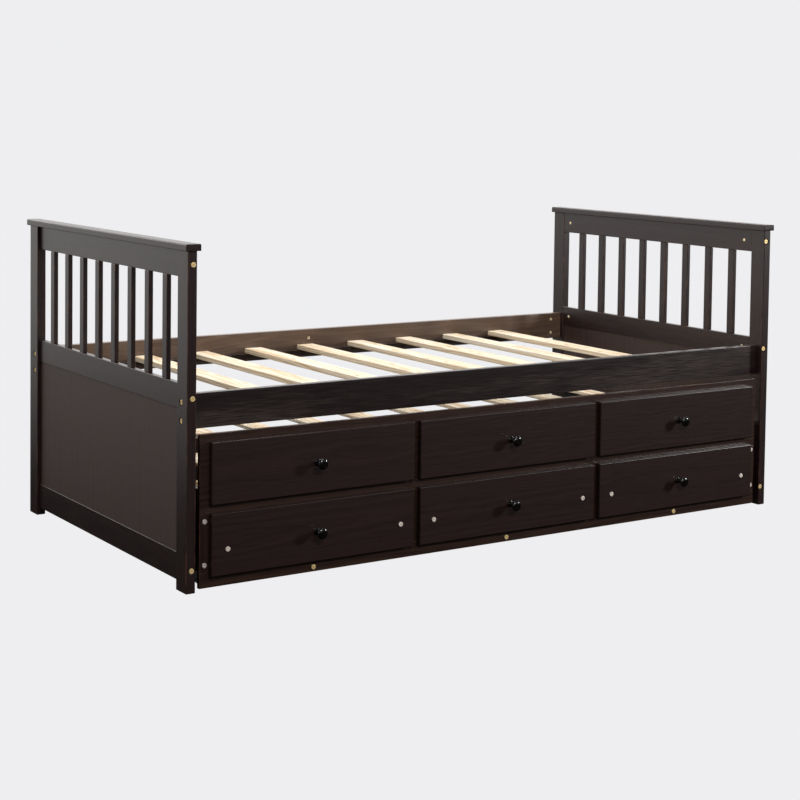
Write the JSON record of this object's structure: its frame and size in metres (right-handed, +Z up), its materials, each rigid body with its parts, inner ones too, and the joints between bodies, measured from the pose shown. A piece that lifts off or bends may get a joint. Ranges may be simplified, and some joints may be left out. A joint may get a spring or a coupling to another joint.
{
  "type": "trundle bed",
  "caption": "Twin bed with slatted end panels, a slat deck and a roll-out trundle whose front has false fronts above real drawers.",
  "frame": {"origin": "on the floor, at the centre of the whole bed's bounding box in plan", "axes": "+X along the bed to the right-hand end as seen from the drawers, +Y from the drawers towards the back, +Z up"},
  "size_m": [2.016, 1.125, 0.883],
  "materials": {
    "espresso_wood": "satin dark espresso lacquer on solid pine",
    "espresso_panel": "satin espresso lacquer on veneered board, grain upright",
    "espresso_rail": "thinner espresso stain on solid pine, grain along the board",
    "pine_slat": "sanded bare pine with knots",
    "drawer_pine": "sanded pine under clear lacquer",
    "drawer_ply": "thin plywood",
    "brass_bolt": "yellow zinc plated steel that looks like dull brass",
    "nickel_fitting": "plated steel, slightly pink",
    "black_knob": "gloss black lacquer",
    "steel_fork": "zinc plated pressed steel",
    "grey_wheel": "grey rubber tread"
  },
  "bodies": {
    "bed_frame": {"left_front_post": "espresso_wood", "left_back_post": "espresso_wood", "left_cap": "espresso_wood", "left_top_rail": "espresso_wood", "left_middle_rail": "espresso_wood", "left_bottom_rail": "espresso_wood", "left_panel": "espresso_panel", "left_uprights": "espresso_wood", "right_front_post": "espresso_wood", "right_back_post": "espresso_wood", "right_cap": "espresso_wood", "right_top_rail": "espresso_wood", "right_middle_rail": "espresso_wood", "right_bottom_rail": "espresso_wood", "right_panel": "espresso_panel", "right_uprights": "espresso_wood", "front_rail": "espresso_rail", "back_rail": "espresso_rail", "rail_ledges": "espresso_rail", "bed_slats": "pine_slat", "frame_bolts": "brass_bolt", "barrel_nuts": "nickel_fitting"},
    "trundle": {"trundle_top_board": "espresso_wood", "trundle_bottom_rail": "espresso_wood", "trundle_stiles": "espresso_wood", "false_fronts": "espresso_wood", "false_front_knobs": "black_knob", "trundle_sides": "espresso_rail", "trundle_back": "espresso_rail", "trundle_dividers": "espresso_rail", "trundle_ledges": "espresso_rail", "drawer_runners": "drawer_pine", "trundle_slats": "pine_slat", "trundle_bolts": "nickel_fitting", "castor_brackets": "steel_fork", "castor_axles": "steel_fork"},
    "drawer_left": {"drawer_left_front": "espresso_wood", "drawer_left_sides": "drawer_pine", "drawer_left_back": "drawer_pine", "drawer_left_bottom": "drawer_ply", "drawer_left_knob": "black_knob", "drawer_left_bolts": "nickel_fitting"},
    "drawer_middle": {"drawer_middle_front": "espresso_wood", "drawer_middle_sides": "drawer_pine", "drawer_middle_back": "drawer_pine", "drawer_middle_bottom": "drawer_ply", "drawer_middle_knob": "black_knob", "drawer_middle_bolts": "nickel_fitting"},
    "drawer_right": {"drawer_right_front": "espresso_wood", "drawer_right_sides": "drawer_pine", "drawer_right_back": "drawer_pine", "drawer_right_bottom": "drawer_ply", "drawer_right_knob": "black_knob", "drawer_right_bolts": "nickel_fitting"},
    "castor_wheel_front_left": {"wheel_front_left": "grey_wheel"},
    "castor_wheel_front_right": {"wheel_front_right": "grey_wheel"},
    "castor_wheel_middle_left": {"wheel_middle_left": "grey_wheel"},
    "castor_wheel_middle_right": {"wheel_middle_right": "grey_wheel"},
    "castor_wheel_back_left": {"wheel_back_left": "grey_wheel"},
    "castor_wheel_back_right": {"wheel_back_right": "grey_wheel"}
  },
  "joints": [
    {"name": "trundle_slide", "type": "slide", "parent": "bed_frame", "child": "trundle", "axis": [0, -1, 0], "range_m": [0, 0.95]},
    {"name": "drawer_left_slide", "type": "slide", "parent": "trundle", "child": "drawer_left", "axis": [0, -1, 0], "range_m": [0, 0.4]},
    {"name": "drawer_middle_slide", "type": "slide", "parent": "trundle", "child": "drawer_middle", "axis": [0, -1, 0], "range_m": [0, 0.4]},
    {"name": "drawer_right_slide", "type": "slide", "parent": "trundle", "child": "drawer_right", "axis": [0, -1, 0], "range_m": [0, 0.4]},
    {"name": "roll_front_left", "type": "hinge", "parent": "trundle", "child": "castor_wheel_front_left", "pos_m": [-0.9235, -0.4365, 0.025], "axis": [1, 0, 0], "range_deg": [-5, 2190]},
    {"name": "roll_front_right", "type": "hinge", "parent": "trundle", "child": "castor_wheel_front_right", "pos_m": [0.9235, -0.4365, 0.025], "axis": [1, 0, 0], "range_deg": [-5, 2190]},
    {"name": "roll_middle_left", "type": "hinge", "parent": "trundle", "child": "castor_wheel_middle_left", "pos_m": [-0.2925, -0.0165, 0.025], "axis": [1, 0, 0], "range_deg": [-5, 2190]},
    {"name": "roll_middle_right", "type": "hinge", "parent": "trundle", "child": "castor_wheel_middle_right", "pos_m": [0.2925, -0.0165, 0.025], "axis": [1, 0, 0], "range_deg": [-5, 2190]},
    {"name": "roll_back_left", "type": "hinge", "parent": "trundle", "child": "castor_wheel_back_left", "pos_m": [-0.9235, 0.4035, 0.025], "axis": [1, 0, 0], "range_deg": [-5, 2190]},
    {"name": "roll_back_right", "type": "hinge", "parent": "trundle", "child": "castor_wheel_back_right", "pos_m": [0.9235, 0.4035, 0.025], "axis": [1, 0, 0], "range_deg": [-5, 2190]}
  ],
  "couplings": [
    {"joint": "roll_front_left", "follows": "trundle_slide", "rad_per_m": 40},
    {"joint": "roll_front_right", "follows": "trundle_slide", "rad_per_m": 40},
    {"joint": "roll_middle_left", "follows": "trundle_slide", "rad_per_m": 40},
    {"joint": "roll_middle_right", "follows": "trundle_slide", "rad_per_m": 40},
    {"joint": "roll_back_left", "follows": "trundle_slide", "rad_per_m": 40},
    {"joint": "roll_back_right", "follows": "trundle_slide", "rad_per_m": 40}
  ]
}
